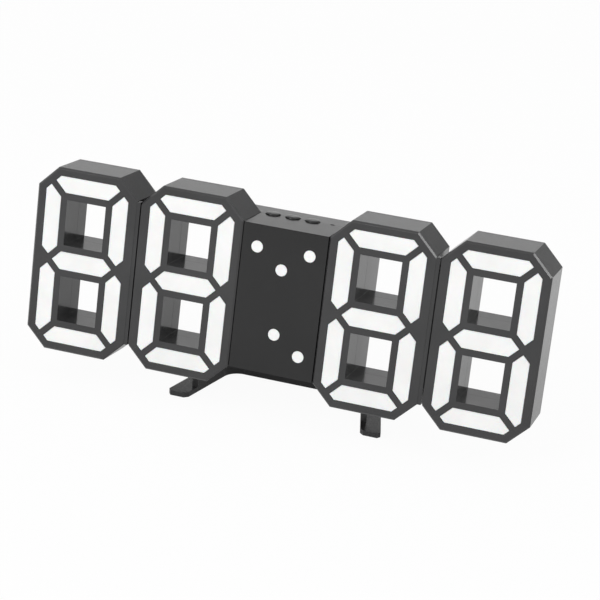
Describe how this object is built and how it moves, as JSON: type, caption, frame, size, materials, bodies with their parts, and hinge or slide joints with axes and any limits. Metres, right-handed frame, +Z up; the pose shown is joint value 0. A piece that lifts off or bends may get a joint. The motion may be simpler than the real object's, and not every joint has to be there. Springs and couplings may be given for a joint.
{
  "type": "desk clock",
  "caption": "Desk clock with see-through seven-segment digits, a centre panel with indicator dots, top push buttons and a tilting splayed stand.",
  "frame": {"origin": "on the table under the middle of the whole clock", "axes": "+X to the viewer's right along the digits, +Y to the back, +Z up; the digits face -Y and lean back 10 degrees"},
  "size_m": [0.2362, 0.0512, 0.0996],
  "materials": {
    "frame_black": "semi-gloss black moulded plastic",
    "cover_black": "satin black moulded plastic",
    "panel_black": "satin black moulded plastic",
    "housing_black": "satin black moulded plastic with a fine spark texture",
    "button_black": "semi-gloss black moulded plastic",
    "stand_black": "satin black moulded plastic",
    "diffuser_white": "milky white light-spreading plastic",
    "lens_white": "milky white light-spreading plastic",
    "baffle_white": "white reflecting plastic",
    "board_green": "green solder mask on fibreglass",
    "led_yellow": "phosphor-coated light chip",
    "screw_steel": "zinc-plated steel",
    "ribbon_grey": "grey flat ribbon",
    "chip_black": "black moulding compound",
    "can_steel": "drawn steel shell",
    "sensor_dark": "dark epoxy bead",
    "switch_grey": "dark grey plastic",
    "sensor_clear": "clear epoxy",
    "contact_brass": "stamped spring contact",
    "cell_steel": "nickel-plated steel cell",
    "pin_steel": "ground steel pin",
    "pad_rubber": "black rubber"
  },
  "bodies": {
    "stand": {"stand": "stand_black", "hinge_pin": "pin_steel", "stand_pads": "pad_rubber"},
    "clock": {"front_frame_1": "frame_black", "front_frame_2": "frame_black", "front_frame_3": "frame_black", "front_frame_4": "frame_black", "diffuser_1": "diffuser_white", "diffuser_2": "diffuser_white", "diffuser_3": "diffuser_white", "diffuser_4": "diffuser_white", "light_baffle_1": "baffle_white", "light_baffle_2": "baffle_white", "light_baffle_3": "baffle_white", "light_baffle_4": "baffle_white", "dot_baffle": "baffle_white", "led_board_1": "board_green", "led_board_2": "board_green", "led_board_3": "board_green", "led_board_4": "board_green", "main_board": "board_green", "button_board": "board_green", "power_board": "board_green", "leds_1": "led_yellow", "leds_2": "led_yellow", "leds_3": "led_yellow", "leds_4": "led_yellow", "dot_leds": "led_yellow", "rear_cover_1": "cover_black", "rear_cover_2": "cover_black", "rear_cover_3": "cover_black", "rear_cover_4": "cover_black", "left_bridge": "cover_black", "right_bridge": "cover_black", "cover_screws": "screw_steel", "housing_screws": "screw_steel", "wing_screws": "screw_steel", "ribbon_jumpers": "ribbon_grey", "power_jumper": "ribbon_grey", "centre_front": "panel_black", "centre_rear": "housing_black", "dot_lenses": "lens_white", "clock_chip": "chip_black", "buzzer": "chip_black", "board_header": "chip_black", "cell_holder": "chip_black", "crystal": "can_steel", "usb_socket": "can_steel", "temperature_sensor": "sensor_dark", "tact_switches": "switch_grey", "light_sensor": "sensor_clear", "cell_contact": "contact_brass", "coin_cell": "cell_steel"},
    "set_key": {"set_button": "button_black"},
    "up_key": {"up_button": "button_black"},
    "down_key": {"down_button": "button_black"},
    "battery_cover": {"battery_cover": "housing_black"}
  },
  "joints": [
    {"name": "stand_tilt", "type": "hinge", "parent": "stand", "child": "clock", "pos_m": [0, 0.01332, 0.01368], "axis": [-1, 0, 0], "range_deg": [0, 25]},
    {"name": "set_press", "type": "slide", "parent": "clock", "child": "set_key", "axis": [0, -0.1736, -0.9848], "range_m": [0, 0.0005], "stiffness_N_per_m": 3000},
    {"name": "up_press", "type": "slide", "parent": "clock", "child": "up_key", "axis": [0, -0.1736, -0.9848], "range_m": [0, 0.0005], "stiffness_N_per_m": 3000},
    {"name": "down_press", "type": "slide", "parent": "clock", "child": "down_key", "axis": [0, -0.1736, -0.9848], "range_m": [0, 0.0005], "stiffness_N_per_m": 3000},
    {"name": "battery_cover_turn", "type": "hinge", "parent": "clock", "child": "battery_cover", "pos_m": [0, 0.01793, 0.05653], "axis": [0, 0.9848, -0.1736], "range_deg": [0, 45]}
  ]
}
